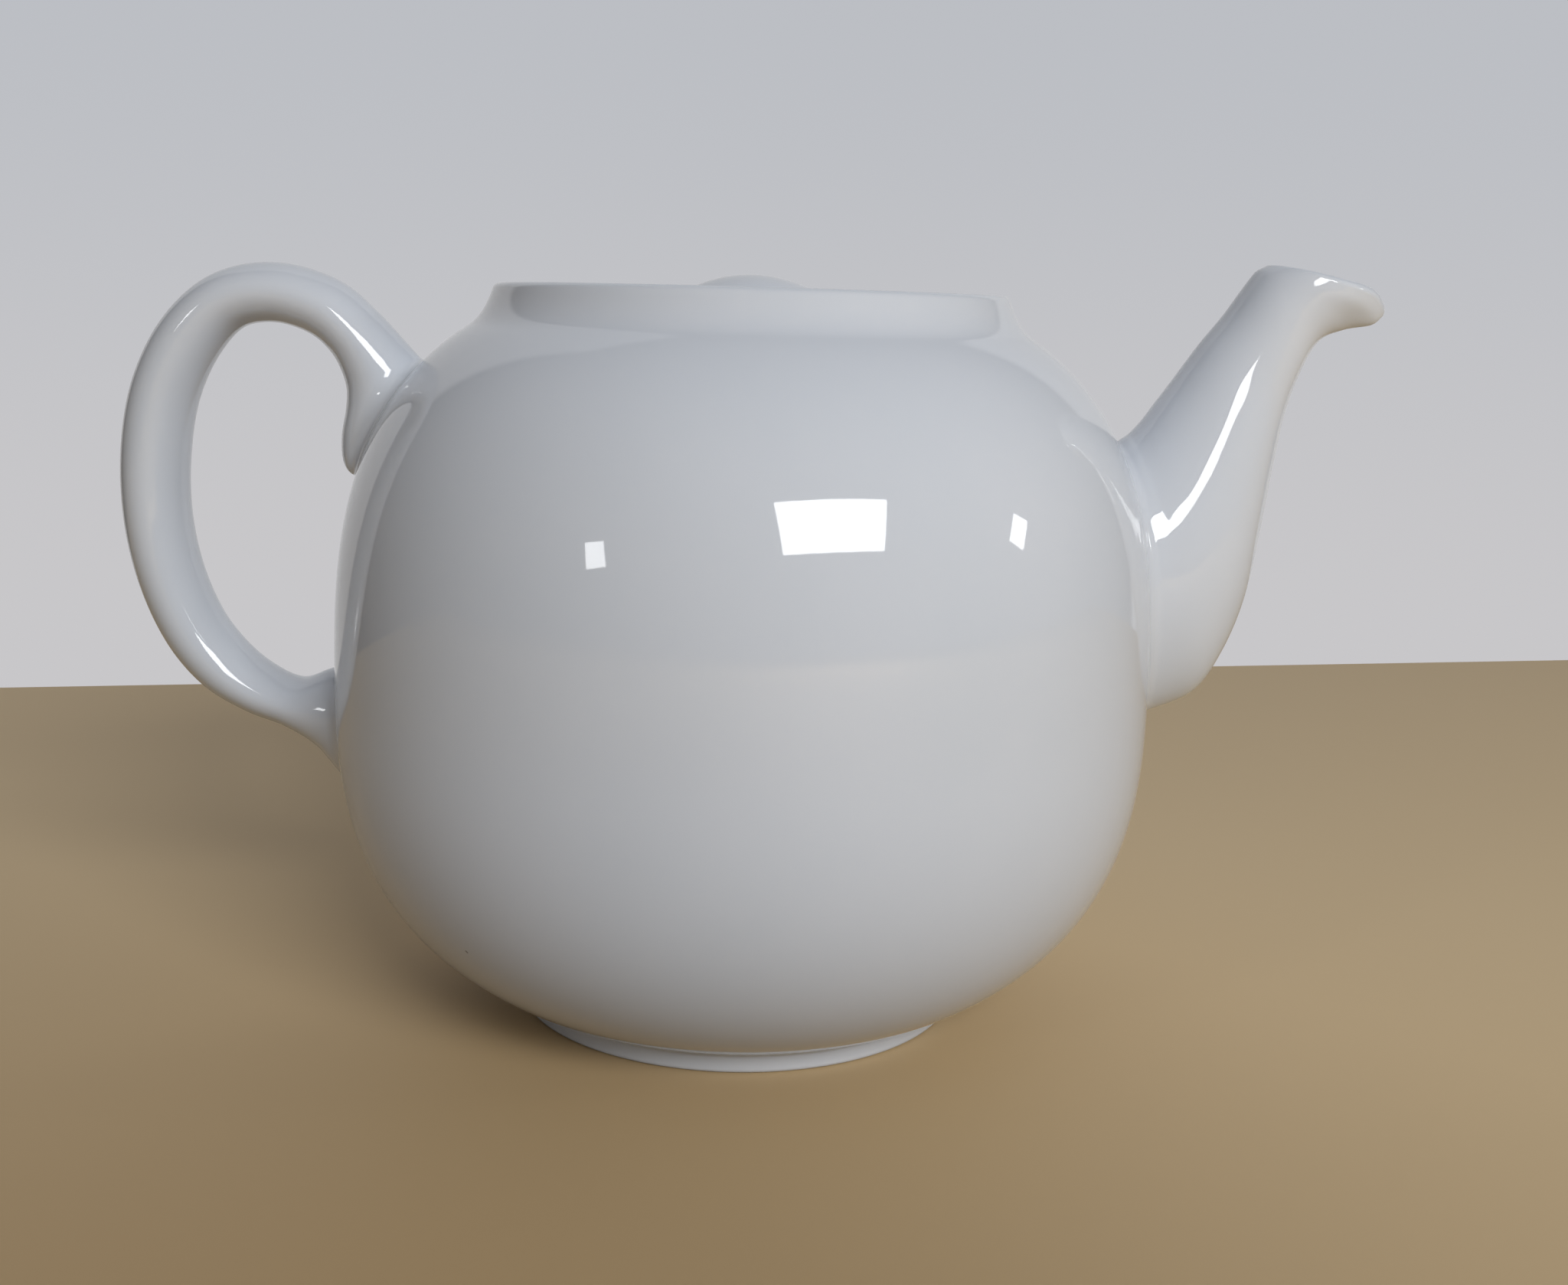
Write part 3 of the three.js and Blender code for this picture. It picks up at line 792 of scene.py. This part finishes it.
def make_floor():
    """Pale floor that ends behind the pot, where the pale wall begins, with a soft painted shade before the
    pot.
    """
    material, tree, shader = new_material("pale_floor")
    place = node(tree, "ShaderNodeTexCoord", (-900, 0)).outputs["Object"]
    drift = noise(tree, (-700, 0), place, *FLOOR_NOISE)
    low = tuple((1 - FLOOR_DRIFT) * c for c in FLOOR_COLOUR)
    high = tuple((1 + FLOOR_DRIFT) * c for c in FLOOR_COLOUR)
    tint = ramp(tree, (-450, 0), drift, low, high)
    # Painted shade: the floor's colour is darkened round a spot before the pot, fading out with distance
    # from it
    away = node(tree, "ShaderNodeVectorMath", (-700, -300), operation="DISTANCE")
    away.inputs[1].default_value = PAINTED_SHADE_CENTRE
    tree.links.new(place, away.inputs[0])
    lit = soft_step(tree, (-450, -300), away.outputs["Value"], *PAINTED_SHADE_REACH)
    painted_shade_mask = math_node(tree, (-300, -300), "SUBTRACT", 1.0, lit)
    path = node(tree, "ShaderNodeLightPath", (-700, -600))
    # The painted shade is much darker for diffuse rays, which darkens the light the floor bounces onto the
    # pot
    shade = blend_colour(tree, (-450, -600), path.outputs["Is Diffuse Ray"], FLOOR_PAINTED_SHADE, BOUNCE_PAINTED_SHADE)
    colour = blend_colour(tree, (-200, 0), painted_shade_mask, tint, shade, "MULTIPLY")
    tree.links.new(colour, shader.inputs["Base Color"])
    shader.inputs["Roughness"].default_value = FLOOR_ROUGHNESS
    shader.inputs["Specular IOR Level"].default_value = FLOOR_SPECULAR
    rise = FLOOR_REACH * FLOOR_SLANT
    points = [(-FLOOR_REACH, -FLOOR_REACH, 0), (FLOOR_REACH, -FLOOR_REACH, 0),
              (FLOOR_REACH, FLOOR_END + rise, 0), (-FLOOR_REACH, FLOOR_END - rise, 0)]
    new_piece("floor", points, [(0, 1, 2, 3)], material)


def make_window(name, centre, away, aside, size, power):
    """A rectangular light, from its centre, the direction it shines from and the way its width runs."""
    back = Vector(away).normalized()
    across = Vector(aside)
    across = (across - back * across.dot(back)).normalized()
    data = bpy.data.lights.new(name, "AREA")
    data.shape = "RECTANGLE"
    data.size = size[0]
    data.size_y = size[1]
    data.energy = power
    data.color = DAYLIGHT
    lamp = bpy.data.objects.new(name, data)
    turn = Matrix((across, back.cross(across), back)).transposed()
    lamp.matrix_world = Matrix.Translation(centre) @ turn.to_4x4()
    bpy.context.scene.collection.objects.link(lamp)


def make_world():
    """Dim room before the pot, darker on the left, with a pale wall behind the pot and a ceiling above."""
    world = bpy.data.worlds.new("room")
    world.use_nodes = True
    tree = world.node_tree
    place = node(tree, "ShaderNodeTexCoord", (-1500, 0))
    split = node(tree, "ShaderNodeSeparateXYZ", (-1300, 0))
    tree.links.new(place.outputs["Generated"], split.inputs["Vector"])
    x, y, z = split.outputs
    ahead = math_node(tree, (-1100, -300), "MAXIMUM", y, LEAST_AHEAD)
    across = math_node(tree, (-900, -200), "DIVIDE", x, ahead)
    rise = math_node(tree, (-900, -400), "DIVIDE", z, ahead)
    slant = math_node(tree, (-700, -300), "MULTIPLY_ADD", rise, WALL_SLANT, across)
    left = soft_step(tree, (-500, -200), across, *WALL_LEFT_EDGE)
    right = soft_step(tree, (-500, -400), slant, *WALL_RIGHT_EDGE)
    top = soft_step(tree, (-500, -600), rise, *WALL_TOP_EDGE)
    sides = math_node(tree, (-300, -300), "MULTIPLY", left, right)
    on_wall = math_node(tree, (-100, -300), "MULTIPLY", sides, top)
    side = soft_step(tree, (-500, 200), x, *ROOM_FADE)
    up = soft_step(tree, (-500, 400), z, *CEILING_FADE)
    room = blend_colour(tree, (-300, 200), side, ROOM_LEFT, ROOM_RIGHT)
    room = blend_colour(tree, (-100, 200), up, room, CEILING)
    light = blend_colour(tree, (100, 0), on_wall, room, WALL_LIGHT)
    path = node(tree, "ShaderNodeLightPath", (100, 300))
    height = soft_step(tree, (-100, 600), z, *WALL_FADE)
    wall = blend_colour(tree, (100, 500), height, WALL_LOW, WALL_HIGH)
    seen = blend_colour(tree, (300, 0), path.outputs["Is Camera Ray"], light, wall)
    tree.links.new(seen, tree.nodes["Background"].inputs["Color"])
    bpy.context.scene.world = world


def make_camera():
    """The photograph's camera, found from the rim, the foot and the outlines of the body."""
    distance = 0.320
    height = 0.1295
    focal_pixels = 2255.6
    image_width = 2048
    yaw = 0.0234
    pitch = -0.1903
    roll = 0.0275
    ahead = Vector((math.sin(yaw) * math.cos(pitch), math.cos(yaw) * math.cos(pitch), math.sin(pitch)))
    right = Vector((math.cos(yaw), -math.sin(yaw), 0))
    up = right.cross(ahead)
    right_rolled = right * math.cos(roll) + up * math.sin(roll)
    up_rolled = up * math.cos(roll) - right * math.sin(roll)
    data = bpy.data.cameras.new("camera")
    data.sensor_width = 36
    data.lens = focal_pixels / image_width * data.sensor_width
    data.clip_start = 0.01
    camera = bpy.data.objects.new("camera", data)
    turn = Matrix((right_rolled, up_rolled, -ahead)).transposed()
    camera.matrix_world = Matrix.Translation((0, -distance, height)) @ turn.to_4x4()
    bpy.context.scene.collection.objects.link(camera)
    bpy.context.scene.camera = camera


def main():
    """Makes the pot's pieces and hangs each on its body, then the floor, the lights and the camera."""
    glaze = make_porcelain()
    pieces = [
        (make_body(glaze), "pot", "pot_body"),
        (make_spout(glaze), "pot", "spout"),
        (make_handle(glaze), "pot", "handle"),
        (make_lid(glaze), "lid", "lid"),
        (make_knob(glaze), "lid", "lid_knob"),
    ]
    for piece, body, cad_node in pieces:
        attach(piece, body)
        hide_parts(cad_node)
    make_floor()
    for window in WINDOWS:
        make_window(*window)
    make_world()
    make_camera()
    bpy.context.scene.view_settings.view_transform = "Standard"


main()
